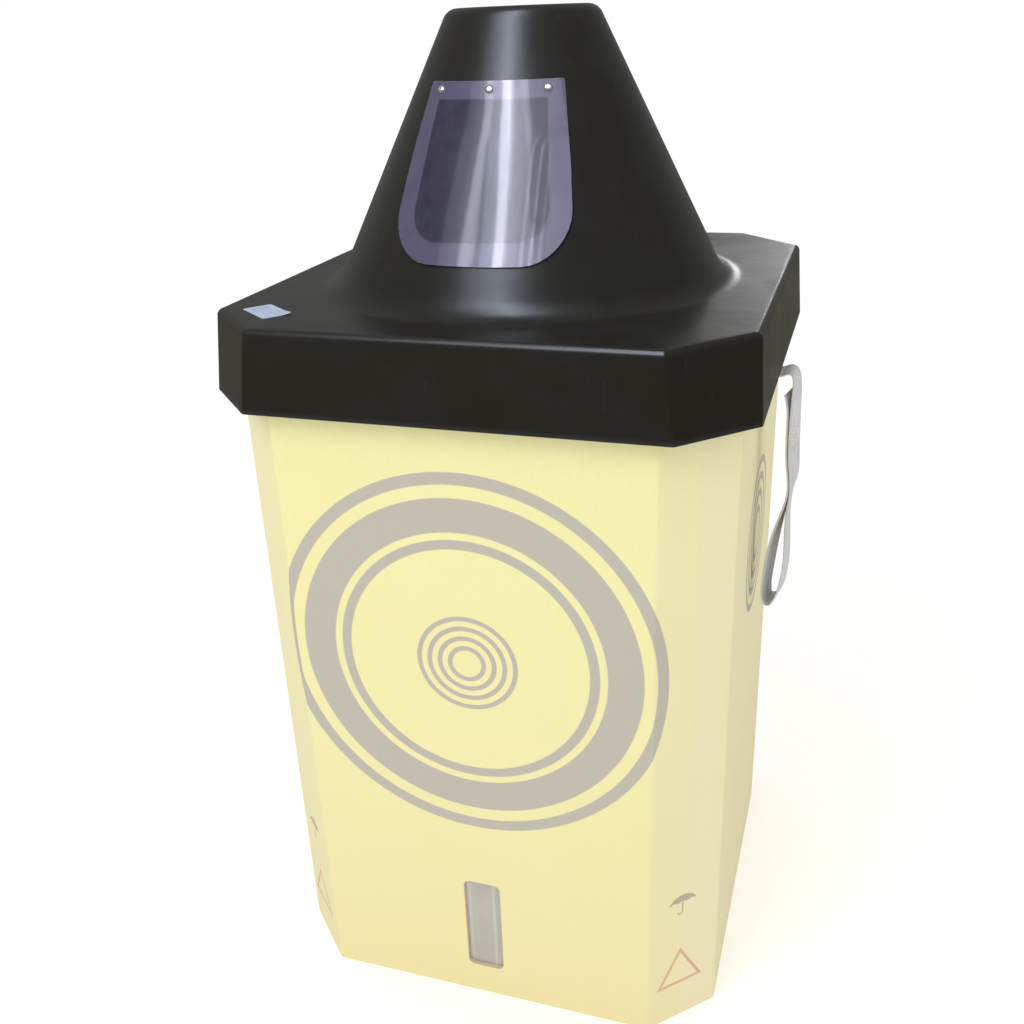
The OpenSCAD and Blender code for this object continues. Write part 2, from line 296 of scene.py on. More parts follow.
def spun(profile, turns, phase=0.0):
    """Points of a profile of (radius, z), turned about Z."""
    angles = [2 * pi * (k + phase) / turns for k in range(turns)]
    return [(r * cos(a), r * sin(a), z) for r, z in profile for a in angles]


def lathe(name, profile, turns):
    """A closed ring: profile is a closed outline of (radius, z)."""
    points = spun(profile, turns)
    return add_object(name, points, band_faces(len(profile), turns, wrap_rows=True))


def arc(cx, cy, r, start, end, count):
    """Points on an arc from start to end degrees."""
    angles = (radians(start + (end - start) * k / count) for k in range(count + 1))
    return [(cx + r * cos(a), cy + r * sin(a)) for a in angles]


def apply_modifiers(piece):
    depsgraph = bpy.context.evaluated_depsgraph_get()
    mesh = bpy.data.meshes.new_from_object(piece.evaluated_get(depsgraph))
    piece.modifiers.clear()
    piece.data = mesh


def carve(piece, cutters):
    """Cuts the cutters' shapes out of piece."""
    for cutter in cutters:
        change = piece.modifiers.new("cut", "BOOLEAN")
        change.object, change.operation, change.solver = cutter, "DIFFERENCE", "EXACT"
    apply_modifiers(piece)
    for cutter in cutters:
        bpy.data.objects.remove(cutter)


def prism(name, outline, y_front, y_back):
    """An [x, z] outline extruded along Y."""
    points = [(x, y, z) for y in (y_front, y_back) for x, z in outline]
    return add_object(name, points, tube_faces(2, len(outline)))


def rounded(corners, radii, count=8):
    """A closed outline with each corner rounded by its own radius."""
    outline = []
    for place, corner in enumerate(corners):
        before = Vector(corners[place - 1]) - Vector(corner)
        after = Vector(corners[(place + 1) % len(corners)]) - Vector(corner)
        u, w, r = before.normalized(), after.normalized(), radii[place]
        half = u.angle(w) / 2
        centre = Vector(corner) + (u + w).normalized() * r / sin(half)
        p = Vector(corner) + u * r / tan(half) - centre
        q = Vector(corner) + w * r / tan(half) - centre
        start, sweep = atan2(p.y, p.x), p.angle_signed(q)
        outline += [(centre.x + r * cos(start - sweep * k / count),
                     centre.y + r * sin(start - sweep * k / count))
                    for k in range(count + 1)]
    return outline


def box_outline(w, h, r, z=0.0):
    corners = [(-w / 2, z - h / 2), (w / 2, z - h / 2), (w / 2, z + h / 2), (-w / 2, z + h / 2)]
    return rounded(corners, [r] * 4)


def octagon_ring(half, leg, corner_r, flat_steps, chamfer_steps, corner_steps=5):
    """Points round an octagon with rounded corners: (x, y) with its flats divided evenly."""
    k = half - leg
    corners = [(k, -half), (half, -k), (half, k), (k, half),
               (-k, half), (-half, k), (-half, -k), (-k, -half)]
    arcs = rounded(corners, [corner_r] * 8, corner_steps)
    size = corner_steps + 1
    ring = []
    for place in range(8):
        here = arcs[place * size:(place + 1) * size]
        following = arcs[(place + 1) % 8 * size]
        steps = chamfer_steps if place % 2 == 0 else flat_steps
        ring += here
        ring += [tuple(np.array(here[-1]) + (np.array(following) - here[-1]) * s / steps)
                 for s in range(1, steps)]
    return ring


def give(piece, finish, body, *stands_for):
    """Sets a piece's material, its body, and the CAD nodes that it stands for."""
    piece.data.materials.clear()
    piece.data.materials.append(finish.material)
    if body:
        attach(piece, body)
    if stands_for:
        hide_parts(*stands_for)


def dress(node, finish):
    """A better material on a CAD node that stays."""
    for place in frame["nodes"][node].material_slots:
        place.material = finish.material


def soften(node, finish, width=0.0006):
    """A copy of a CAD node with its edges rounded, which stands for it."""
    source = frame["nodes"][node]
    piece = place_in_scene(node + "_soft", source.data.copy())
    work = bmesh.new()
    work.from_mesh(piece.data)
    bmesh.ops.remove_doubles(work, verts=work.verts, dist=2e-6)
    bmesh.ops.dissolve_limit(work, angle_limit=0.01, verts=work.verts, edges=work.edges)
    work.to_mesh(piece.data)
    work.free()
    change = piece.modifiers.new("edges", "BEVEL")
    change.width, change.segments = width, 2
    change.limit_method, change.angle_limit = "ANGLE", 0.6
    apply_modifiers(piece)
    mark_sharp(piece, 0.5)
    give(piece, finish, source["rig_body"], node)


def slab(name, front, back, places, columns):
    """A thin solid with a front and a back grid of points, closed round its edge, and the flat
    (u, v) of each point."""
    size = len(places)
    rows = size // columns
    faces = band_faces(rows, columns, wrap_columns=False)
    faces += [tuple(i + size for i in face[::-1]) for face in faces]
    rim = list(range(columns)) + [r * columns + columns - 1 for r in range(1, rows)]
    rim += [(rows - 1) * columns + c for c in range(columns - 2, -1, -1)]
    rim += [r * columns for r in range(rows - 2, 0, -1)]
    faces += [(a, a + size, b + size, b) for a, b in zip(rim, rim[1:] + rim[:1])]
    made = add_object(name, front + back, faces)
    map_uv(made, places + places)
    return made


def map_uv(piece, places):
    """Sets each vertex's (u, v)."""
    layer = piece.data.uv_layers.new(name="flat")
    for loop in piece.data.loops:
        layer.data[loop.index].uv = places[loop.vertex_index]


# ---- camera, floor and light ----

def add_camera():
    """The photograph's camera, solved from the drum's and the hood's edges."""
    azimuth, elevation, roll = (radians(a) for a in (18.83, 24.33, -2.36))
    back = Vector((sin(azimuth) * cos(elevation),
                   -cos(azimuth) * cos(elevation), sin(elevation)))
    right = Vector((cos(azimuth), sin(azimuth), 0))
    up = back.cross(right)
    across = cos(roll) * right + sin(roll) * up
    upright = -sin(roll) * right + cos(roll) * up
    data = bpy.data.cameras.new("camera")
    data.lens, data.sensor_width = 38.38, 36.0
    camera = place_in_scene("camera", data)
    turn = Matrix((across, upright, back)).transposed()
    camera.matrix_world = Matrix.Translation((0.41187, -1.31925, 1.22055)) @ turn.to_4x4()
    bpy.context.scene.camera = camera


def add_area_light(name, place, target, width, height, power, color=(1, 1, 1), only_on=None):
    data = bpy.data.lights.new(name, "AREA")
    data.shape, data.size, data.size_y = "RECTANGLE", width, height
    return add_lamp(data, place, target, power, color, only_on)


def add_spot(name, place, target, radius, angle, power, only_on):
    """A spot lamp whose beam is angle degrees wide, so that it stays off what is beside target."""
    data = bpy.data.lights.new(name, "SPOT")
    data.shadow_soft_size, data.spot_size, data.spot_blend = radius, radians(angle), 0.8
    return add_lamp(data, place, target, power, (1, 1, 1), only_on)


def add_lamp(data, place, target, power, color, only_on):
    data.energy, data.color = power, color
    lamp = place_in_scene(data.name, data)
    direction = Vector(target) - Vector(place)
    lamp.matrix_world = (Matrix.Translation(place)
                         @ direction.to_track_quat("-Z", "Y").to_matrix().to_4x4())
    lamp.visible_camera = False
    if only_on:
        lamp.light_linking.receiver_collection = only_on
    return lamp


def add_stage():
    """A pale floor and a soft white studio, which glossy surfaces see dimmer than it is."""
    reach = 40
    floor = add_object("floor", [(-reach, -reach, 0), (reach, -reach, 0), (reach, reach, 0),
                                 (-reach, reach, 0)], [(0, 1, 2, 3)])
    finish = Finish("floor_white", (0.95, 0.95, 0.95), 0.9, 0.0)
    finish.relief((60, 3), 0.0002)
    finish.set("Emission Color", (1, 1, 1, 1))
    glossy = finish.output("LightPath", "Is Glossy Ray")
    finish.set("Emission Strength", glossy * -FLOOR_GLOW + FLOOR_GLOW)
    finish.paint((0.26, 0.25, 0.205), glossy)
    floor.data.materials.append(finish.material)
    world = bpy.data.worlds.new("studio")
    bpy.context.scene.world = world
    world.use_nodes = True
    tree = world.node_tree
    ray = tree.nodes.new("ShaderNodeLightPath")
    seen, glossy = (Value(tree, ray.outputs[name]) for name in ("Is Camera Ray", "Is Glossy Ray"))
    strength = seen * (1 - SKY) + glossy * (GLOSSY_SKY - SKY) + SKY
    sky = tree.nodes["Background"]
    sky.inputs["Color"].default_value = (1, 1, 1, 1)
    tree.links.new(strength.socket, sky.inputs["Strength"])
    bpy.context.scene.view_settings.view_transform = "Standard"


def receivers(name, pieces):
    """A group of pieces that a lamp can be kept to."""
    group = bpy.data.collections.new(name)
    for piece in pieces:
        group.objects.link(piece)
    return group


def add_lights(hood, window, rivets):
    """A soft key on everything, and panels that show as sheens in the black hood and its window."""
    key = add_area_light("key", (-0.9, -2.2, 3.0), (0, 0, 0.7), 1.4, 1.4, KEY_POWER)
    key.visible_glossy = False
    on_hood = receivers("hood_receivers", [hood])
    on_window = receivers("window_receivers", [window, rivets])
    cool, violet = (0.76, 0.84, 1.0), (0.84, 0.83, 1.0)
    middle, away = Vector((0, -0.13, 1.08)), 2.4
    for name, azimuth, elevation, width, height, power, color, group in (
            ("hood_streak", -6, 52, 0.35, 1.7, 34, cool, on_hood),
            ("hood_glow", -11, 50, 1.3, 1.8, 64, cool, on_hood),
            ("streak", -5.5, 45, 0.30, 1.3, 21, violet, on_window),
            ("glow", -10, 45, 0.75, 1.3, 14, cool, on_window),
            ("left_strip", -28, 45, 0.26, 1.3, 9, violet, on_window),
            ("left_panel", -38, 45, 0.8, 1.3, 4, violet, on_window),
            ("right_panel", 10, 45, 0.70, 1.3, 17, violet, on_window),
            ("far_panel", 42, 45, 1.4, 1.3, 13, violet, on_window)):
        a, e = radians(azimuth), radians(elevation)
        toward = Vector((sin(a) * cos(e), -cos(a) * cos(e), sin(e)))
        add_area_light(name, middle + toward * away, middle, width, height, power, color, group)
    add_area_light("top", (-0.15, -0.55, 3.4), (0, -0.2, 0.95), 0.6, 0.5, 24, cool, on_hood)
    add_spot("rear", (0.0, 3.0, 1.53), (0.30, 0.13, 0.925), 0.22, 6, 6, on_hood)
    add_spot("rear_spot", (0.18, 3.0, 1.38), (0.25, 0.05, 0.93), 0.13, 5.5, 14, on_hood)


# ---- drum ----

def printed_board():
    """Yellow board with plain rings on its front and back, a plain coil of circles on its sides,
    and plain handling signs on its chamfers."""
    board = Finish("printed_board", (0.88, 0.83, 0.41), 0.62, 0.25)
    grey = (0.525, 0.49, 0.415)
    u, v, _ = board.place("UV")
    on_side = u.above(SIDE_SHIFT / 2, 0.01)
    u = u + on_side * -SIDE_SHIFT
    patch = board.noise(5, 3)
    board.paint((0.91, 0.865, 0.46), patch.above(0.5, 0.35) * 0.5)
    height = v + PRINT_Z
    # warmer and darker towards the bottom, fading out by about 0.95 m up
    lowness = (height * (-1 / 0.95) + 1.0).clamp()
    board.paint((0.84, 0.70, 0.41), lowness * lowness * 0.55)
    side = DRUM_HALF - DRUM_LEG
    on_chamfer = u.abs().above(side, 0.0001)
    # painted light: the side faces, and the chamfers half as much, made paler and less yellow, as
    # bounce light would show them
    board.paint((0.86, 0.78, 0.58), on_side.most(on_chamfer * 0.5) * 0.45)
    fibre = board.noise(260, 5, stretch=(1, 1, 0.4))
    board.paint((0.83, 0.77, 0.38), fibre.above(0.6, 0.2) * 0.25)
    wobble = (board.noise(900, 2) - 0.5) * 0.0008
    radius = u.reach(v) + wobble
    coil_radius = u.reach(v - COIL_V) + wobble
    rings = [radius.between(inner, outer, 0.0012)
             for inner, outer in ((0.149, 0.161), (0.170, 0.212), (0.228, 0.243))]
    rings += [radius.between(0.018 + 0.013 * k, 0.024 + 0.013 * k, 0.001) for k in range(4)]
    coil = [coil_radius.between(0.028 + 0.022 * k, 0.038 + 0.022 * k, 0.001) for k in range(4)]
    rings = reduce(Value.most, rings) * on_side.flipped() + reduce(Value.most, coil) * on_side
    worn = board.noise(350, 4).above(0.22, 0.2) * 0.25 + 0.75
    board.paint(grey, rings * worn)

    # an open umbrella, and below it the outline of a triangle
    across = (u.abs() - (side + DRUM_LEG / ROOT2)) * u.math("SIGN")
    c, h = across + 0.003 + wobble, height - 0.1975 + wobble
    canopy = c.reach(h + 0.014).above(0.0245, 0.0008).flipped()
    scallop = (c * (pi / 0.0138)).sin().abs() * 0.0022
    canopy = canopy * (h + scallop).above(0.0005, 0.0008)
    stem = (-c.abs()).above(-0.0010, 0.0006) * h.between(-0.0165, 0.004, 0.0008)
    hook_c, hook_h = c + 0.0036, h + 0.0165
    hook = hook_c.reach(hook_h).between(0.0026, 0.0046, 0.0006) * (-hook_h).above(0, 0.0006)
    board.paint((0.43, 0.385, 0.31), canopy.most(stem).most(hook) * on_chamfer * 0.85)
    c, h = across + 0.0045 + wobble, height - 0.0785 + wobble
    edge = (-h).most(c.abs() * 0.866 + h * 0.5) - 0.0205
    board.paint((0.72, 0.36, 0.26), edge.between(-0.0042, 0.0, 0.0009) * on_chamfer * worn * 0.8)
    board.relief(fibre, 0.00012)
    board.relief((9, 2), 0.0012)
    return board


def kraft_board(name, color, flutes=False):
    """Brown fibreboard, flecked, with its flutes showing faintly where asked."""
    board = Finish(name, color, 0.85, 0.2)
    fibre = board.noise(420, 6, stretch=(1, 1, 0.25))
    board.paint(scaled(color, 0.72), fibre.above(0.55, 0.3) * 0.55)
    board.paint(scaled(color, 1.25), board.noise(1400, 3).above(0.66, 0.08) * 0.5)
    board.relief(fibre, 0.0002)
    if flutes:
        x, y, _ = board.place()
        board.relief(((x + y) * 900).sin() * 0.5 + 0.5, 0.0003)
    return board


def add_sleeve():
    """The printed sleeve: bowed board panels with the sight slot and the two sling slots."""
    flat_steps, chamfer_steps = 28, 8
    outer = octagon_ring(DRUM_HALF, DRUM_LEG, 0.006, flat_steps, chamfer_steps)
    inner_leg = DRUM_LEG - (2 - ROOT2) * SLEEVE_T
    inner = octagon_ring(DRUM_HALF - SLEEVE_T, inner_leg, 0.001, flat_steps, chamfer_steps)
    count, rows = len(outer), 60

    def bow(x, y, z):
        """Outward bow and shallow dents, nothing at the corners, the rim or the sight slot."""
        across = min(abs(x), abs(y)) / (DRUM_HALF - DRUM_LEG)
        centre = max(0.0, 1 - across * across)
        upright = sin(pi * min(1, z / DRUM_TOP)) ** 0.7
        dent = 0.5 + 0.5 * noise.noise(Vector((x * 7, y * 7, z * 5)))
        near_slot = min(1, max(0, (hypot(x, (z - SLOT_Z) * 0.6) - 0.05) / 0.08))
        return centre * upright * (0.0006 + 0.0010 * dent) * (near_slot if y < 0 else 1)

    points = []
    for ring in (outer, inner):
        for row in range(rows + 1):
            z = DRUM_TOP * (row if ring is outer else rows - row) / rows
            for (x, y), (ox, oy) in zip(ring, outer):
                push = 1 + bow(ox, oy, z) / hypot(ox, oy)
                points.append((x * push, y * push, z))
    sleeve = add_object("board_sleeve", points, band_faces(2 * (rows + 1), count, wrap_rows=True))

    layer = sleeve.data.uv_layers.new(name="print")
    side = DRUM_HALF - DRUM_LEG
    for face in sleeve.data.polygons:
        middle = face.center
        on_y = abs(middle.y) > abs(middle.x)
        for loop in face.loop_indices:
            p = sleeve.data.vertices[sleeve.data.loops[loop].vertex_index].co
            run = p.x * -copysign(1, middle.y) if on_y else p.y * copysign(1, middle.x)
            over = max(0.0, abs(run) - side)
            shift = 0.0 if on_y else SIDE_SHIFT
            unrolled = run + copysign(over * (ROOT2 - 1), run)
            layer.data[loop].uv = (unrolled + shift, p.z - PRINT_Z)

    front, back = -0.35, -0.25
    cutters = [prism("slot", box_outline(SLOT_W, SLOT_H, 0.009, SLOT_Z), front, back)]
    for turn in (-1, 1):
        gap = prism("gap", box_outline(0.046, 0.0065, 0.003, SLING_SLOT_Z), front, back)
        gap.data.transform(Matrix.Translation((0, STRAP_Y, 0))
                           @ Matrix.Rotation(turn * pi / 2, 4, "Z"))
        cutters.append(gap)
    carve(sleeve, cutters)
    mark_sharp(sleeve)
    give(sleeve, printed_board(), "drum", "outer_sleeve")
    sleeve.data.materials.append(kraft_board("board_edge", (0.76, 0.66, 0.48)).material)
    for face in sleeve.data.polygons:
        c, n = face.center, face.normal
        outward = n.x * c.x + n.y * c.y > 0.5 * hypot(c.x, c.y)
        on_skin = max(abs(c.x), abs(c.y), (abs(c.x) + abs(c.y) + DRUM_LEG) / 2) > DRUM_HALF - 0.002
        face.material_index = 0 if outward and on_skin else 1


# ---- hood ----

def hood_plastic():
    """Black vacuum-formed sheet: satin, faintly orange-peeled, scuffed on its edges."""
    plastic = Finish("hood_plastic", (0.0085, 0.0075, 0.0050), 0.30, 0.25)
    cloud = plastic.noise(14, 4)
    plastic.roughness(0.25, 0.14, cloud)
    plastic.paint((0.013, 0.012, 0.011), cloud.above(0.6, 0.3) * 0.5)
    scratch = plastic.noise(120, 2, stretch=(1, 1, 0.06)).above(0.72, 0.03)
    scuffed = (0.03, 0.03, 0.03)
    plastic.paint(scuffed, scratch * 0.2)
    plastic.paint(scuffed, plastic.edges() * 0.4)
    plastic.relief((520, 2), 0.00005)
    plastic.relief((26, 2), 0.0004)
    return plastic


def hood_stations():
    """The hood's wall as rings from the skirt's outer foot, over the top, and back inside.

    Each is (half, leg, corner radius, circle radius, share of circle, z)."""
    def skirt(z, inset, corner_r):
        rise = (z - SKIRT_Z) / (LID_Z - SKIRT_Z)
        half = SKIRT_LOW_HALF + (SKIRT_TOP_HALF - SKIRT_LOW_HALF) * rise - inset
        leg = SKIRT_LOW_LEG + (SKIRT_TOP_LEG - SKIRT_LOW_LEG) * rise - (2 - ROOT2) * inset
        return half, leg, corner_r

    def side(inset, edge_r, lid, foot):
        rings = []
        for k in range(13):
            z = foot + (lid - edge_r - foot) * k / 12
            rings.append((*skirt(z, inset, max(EDGE_R - inset, 0.002)), 0.3, 0.0, z))
        for k in range(1, 8):
            a = radians(90 * k / 7)
            z = lid - edge_r * (1 - sin(a))
            in_r = inset + edge_r * (1 - cos(a))
            rings.append((*skirt(z, in_r, max(EDGE_R - in_r, 0.002)), 0.3, 0.0, z))
        start = CONE_LOW_R + FLARE_R
        for k in range(1, 15):
            share = k / 14
            rings.append((*skirt(lid, inset + edge_r, 0.003), start, share, lid))
        return rings

    def cone(wall, lid, top):
        shift = wall / cos(CONE_A) - SLOPE * wall
        low, high = CONE_LOW_R - shift, CONE_TOP_R - shift
        flare, shoulder = FLARE_R + wall, SHOULDER_R - wall
        lean = 90 - degrees(CONE_A)
        centre_r = low - SLOPE * flare + flare / cos(CONE_A)
        rings = arc(centre_r, lid + flare, flare, 270, 180 + degrees(CONE_A), 14)
        end_r = high + SLOPE * shoulder - shoulder / cos(CONE_A)
        turn = arc(end_r, top - shoulder, shoulder, degrees(CONE_A), 90, 9)
        foot, head = rings[-1], turn[0]
        rings += [(foot[0] + (head[0] - foot[0]) * k / 40, foot[1] + (head[1] - foot[1]) * k / 40)
                  for k in range(1, 40)]
        rings += turn
        rings += [(RECESS_R + wall + 0.002, top), (RECESS_R + wall + 0.0006, top - 0.0006),
                  (RECESS_R + wall, top - RECESS_D + 0.0005),
                  (RECESS_R + wall - 0.0006, top - RECESS_D), (BUSH_HOLE_R, top - RECESS_D)]
        return [(0.3, 0.08, 0.003, r, 1.0, z) for r, z in rings]

    outside = side(0.0, EDGE_R, LID_Z, SKIRT_Z) + cone(0.0, LID_Z, CONE_Z)
    inside = side(HOOD_T, EDGE_R - HOOD_T, DRUM_TOP, SKIRT_Z)
    inside += cone(HOOD_T, DRUM_TOP, CONE_Z - HOOD_T)
    return outside + inside[::-1]


def add_hood():
    """The moulding: an octagon below, blended station by station into the round cone."""
    stations = hood_stations()
    flat_steps, chamfer_steps = 56, 14
    rings = []
    base = octagon_ring(SKIRT_LOW_HALF, SKIRT_LOW_LEG, EDGE_R, flat_steps, chamfer_steps)
    angles = [atan2(y, x) for x, y in base]
    for half, leg, corner_r, circle_r, share, z in stations:
        octagon = octagon_ring(half, leg, corner_r, flat_steps, chamfer_steps)
        for (x, y), a in zip(octagon, angles):
            cx, cy = circle_r * cos(a), circle_r * sin(a)
            px, py = x + (cx - x) * share, y + (cy - y) * share
            wave = 0.0
            if 0.0 <= share < 1.0 and z > SKIRT_Z + 0.09:
                reach = sin(pi * share)
                wave = reach * 0.0009 * noise.noise(Vector((px * 9, py * 9, 3.1)))
            rings.append((px, py, z + wave))
    hood = add_object("hood_moulding", rings,
                      band_faces(len(stations), len(base), wrap_rows=True))
    top, low = OPENING_TOP_HALF, OPENING_LOW_HALF
    opening = rounded([(top, OPENING_TOP_Z), (-top, OPENING_TOP_Z),
                       (-low, OPENING_LOW_Z), (low, OPENING_LOW_Z)],
                      [0.006, 0.006, OPENING_R, OPENING_R], 12)
    carve(hood, [prism("opening", opening, -0.30, -0.05)] + rivet_holes())
    mark_sharp(hood, 0.5)
    give(hood, hood_plastic(), "hood", "hood_shell")
    return hood


def rivet_frame(turn):
    """Where a rivet sits: +Z along the cone's outward normal."""
    return (Matrix.Rotation(radians(RIVET_TURN * turn), 4, "Z")
            @ Matrix.Translation((0, -cone_r(RIVET_Z), RIVET_Z))
            @ Matrix.Rotation(pi / 2 - CONE_A, 4, "X"))


def rivet_lathe(name, profile, turn, turns=32):
    """A solid of revolution whose profile begins and ends on the rivet's axis."""
    points = [(0, 0, profile[0][1]), *spun(profile[1:-1], turns, 0.5), (0, 0, profile[-1][1])]
    last = len(points) - 1
    faces = [tuple(i + 1 for i in f) for f in band_faces(len(profile) - 2, turns)]
    faces += [(0, 1 + (k + 1) % turns, 1 + k) for k in range(turns)]
    faces += [(last, last - turns + k, last - turns + (k + 1) % turns) for k in range(turns)]
    made = add_object(name, points, faces)
    made.data.transform(rivet_frame(turn))
    return made


def rivet_holes():
    reach = 0.02
    profile = [(0, -reach), (RIVET_HOLE_R, -reach), (RIVET_HOLE_R, reach), (0, reach)]
    return [rivet_lathe("hole", profile, turn) for turn in (-1, 0, 1)]


# ---- window, rivets and label ----

def window_plastic():
    """Clear sheet gone a little milky, hazier where it lies over the hood's wall."""
    clear = Finish("window_sheet", (0.020, 0.018, 0.042), 0.34, 0.6,
                   Coat_Weight=1.0, Coat_Roughness=0.09)
    x, z, _ = clear.place("UV")
    lean = (OPENING_TOP_HALF - OPENING_LOW_HALF) / (OPENING_TOP_Z - OPENING_LOW_Z)
    side = (z - OPENING_LOW_Z) * lean + OPENING_LOW_HALF
    out_x = (x.abs() - side + OPENING_R).most(0)
    out_z = (-z + (OPENING_LOW_Z + OPENING_R)).most(0)
    edge = (out_x.reach(out_z) - OPENING_R).most(z - OPENING_TOP_Z)
    over_wall = edge.above(0, 0.0014)
    rim = edge.between(-0.0016, 0.0004, 0.001)
    dust = clear.noise(40, 5)
    clear.paint((0.055, 0.052, 0.078), dust.above(0.52, 0.3) * 0.4)
    clear.paint((0.11, 0.10, 0.165), over_wall * 0.5)
    scuff = clear.noise(150, 3, stretch=(1, 1, 0.08)).above(0.66, 0.05)
    clear.roughness(0.30, 0.2, scuff)
    clear.set("Alpha", over_wall * 0.12 + rim * 0.10 + dust * 0.10 + scuff * 0.04 + 0.44)
    clear.relief(clear.noise(30, 2, stretch=(1, 1, 0.35)), 0.0005)
    arch = (x - 0.088).reach((z - 1.088).most(0))
    wave = (arch * 640).sin() * arch.between(0.014, 0.036, 0.010)
    clear.relief(wave * 0.5 + 0.5, 0.00055)
    return clear


def add_window():
    """One clear sheet held by three rivets, standing a little off the cone below them."""
    outline = rounded([(0.076, 1.160), (-0.076, 1.160), (-0.093, 1.076), (-SHEET_LOW_HALF, 0.979),
                       (SHEET_LOW_HALF, 0.979), (0.093, 1.076)],
                      [0.003, 0.003, 0.3, 0.046, 0.046, 0.3], 8)
    heights, halves = np.array(sorted((z, x) for x, z in outline if x > 0)).T
    even = np.linspace(heights[0], heights[-1], 70)
    rows = np.unique(np.round(np.concatenate([heights, even]), 5))
    columns = 61
    faces, places = ([], []), []
    for z in rows:
        half = float(np.interp(z, heights, halves))
        for c in range(columns):
            x = half * (2 * c / (columns - 1) - 1)
            free = min(1, max(0, (1.146 - z) / 0.045))
            ripple = 0.5 + 0.5 * noise.noise(Vector((x * 22, z * 7, 1.7)))
            curl = (abs(x) / SHEET_LOW_HALF) ** 4 * 0.0012
            lift = 0.0004 + free * (0.0008 + 0.0012 * ripple + curl)
            for side, out in enumerate((lift + SHEET_T, lift)):
                r = cone_r(z) + out / cos(CONE_A)
                faces[side].append((x, -sqrt(r * r - x * x), z))
            places.append((x, z))
    sheet = slab("window_sheet", *faces, places, columns)
    carve(sheet, rivet_holes())
    mark_sharp(sheet)
    give(sheet, window_plastic(), None, "window_strip", "window_flap")
    -cone_r(1.150)
    -cone_r(1.066)
    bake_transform(sheet)
    return sheet


def rivet_metal():
    metal = Finish("rivet_metal", (0.86, 0.86, 0.87), 0.28, Metallic=1.0)
    metal.roughness(0.2, 0.25, (600, 3))
    metal.tint(0.7, 1.1, (300, 3))
    metal.relief((900, 2), 0.00005)
    return metal


def add_rivets():
    """Domed heads, shanks and clenched tails, from a profile of (radius, height) in mm."""
    outline = [(0, 3.4), (0.7, 3.4), (0.95, 3.65), (1.3, 3.78), (2.2, 3.65), (3.2, 3.25),
               (4.1, 2.6), (4.6, 2.0), (4.8, 1.6), (4.75, 1.42), (4.5, 1.4), (2.0, 1.4),
               (2.0, -5.4), (3.4, -5.4), (3.4, -6.1), (3.0, -6.6), (2.0, -6.8), (0, -6.8)]
    profile = [(r * MM, z * MM) for r, z in outline]
    pins = [rivet_lathe("rivet", profile, turn) for turn in (-1, 0, 1)]
    rivets = join("domed_rivets", pins)
    give(rivets, rivet_metal(), "hood", "window_rivets")
    return rivets


def join(name, parts):
    """One mesh piece from several."""
    work = bmesh.new()
    for part in parts:
        work.from_mesh(part.data)
        bpy.data.objects.remove(part)
    mesh = bpy.data.meshes.new(name)
    work.to_mesh(mesh)
    work.free()
    made = place_in_scene(name, mesh)
    mark_sharp(made)
    return made


def label_paper():
    """Pale blue paper with a plain block and a few bars, which say nothing."""
    paper = Finish("label_paper", (0.59, 0.69, 0.90), 0.35, 0.4)
    x, y, _ = paper.place("UV")
    paper.tint(0.85, 1.15, (90, 4))
    block = x.between(-0.024, -0.006, 0.0006) * y.between(-0.011, 0.011, 0.0006)
    paper.paint((0.42, 0.52, 0.74), block * 0.6)
    inside = y.abs().above(0.0115, 0.0005).flipped()
    bars = (y * (pi / 0.0045)).sin().above(0.35, 0.2) * inside
    paper.paint((0.47, 0.56, 0.76), bars * x.between(0.0, 0.025, 0.0006) * 0.5)
    paper.relief((500, 3), 0.00006)
    return paper


def add_label(hood):
    """The sticker lies on the lid, with one corner starting to lift."""
    rows, columns, corner_r = 15, 25, 0.003
    turn = Matrix.Rotation(radians(-38), 3, "Z")
    top, under, places = [], [], []
    for r in range(rows):
        for c in range(columns):
            x, y = LABEL_W * (c / (columns - 1) - 0.5), LABEL_H * (r / (rows - 1) - 0.5)
            over = Vector((max(0, abs(x) - LABEL_W / 2 + corner_r),
                           max(0, abs(y) - LABEL_H / 2 + corner_r)))
            if over.length > corner_r:
                x -= copysign(over.x * (1 - corner_r / over.length), x)
                y -= copysign(over.y * (1 - corner_r / over.length), y)
            place = turn @ Vector((x, y, 0)) + Vector(LABEL_PLACE)
            _, spot, _, _ = hood.ray_cast((place.x, place.y, CONE_Z), (0, 0, -1))
            lifted = 0.0018 * max(0, (x / LABEL_W + y / LABEL_H) - 0.55) ** 2 / 0.2
            z = spot.z + 0.0002 + lifted
            top.append((place.x, place.y, z + 0.0003))
            under.append((place.x, place.y, z))
            places.append((x, y))
    label = slab("lid_sticker", top, under, places, columns)
    give(label, label_paper(), "hood", "lid_label")


# ---- webbing ----

# the webbing's cross section in mm: its upper outline as (across, out), and then its lower one
WEB_SECTION = [(-20, 0), (-19.7, 0.8), (-18.8, 1.2), (-17.6, 1.2), (-16.8, 0.98), (-9, 1.05),
               (0, 1.1), (9, 1.05), (16.8, 0.98), (17.6, 1.2), (18.8, 1.2), (19.7, 0.8), (20, 0)]
WEB_SECTION += [(across, -out) for across, out in WEB_SECTION[-2:0:-1]]


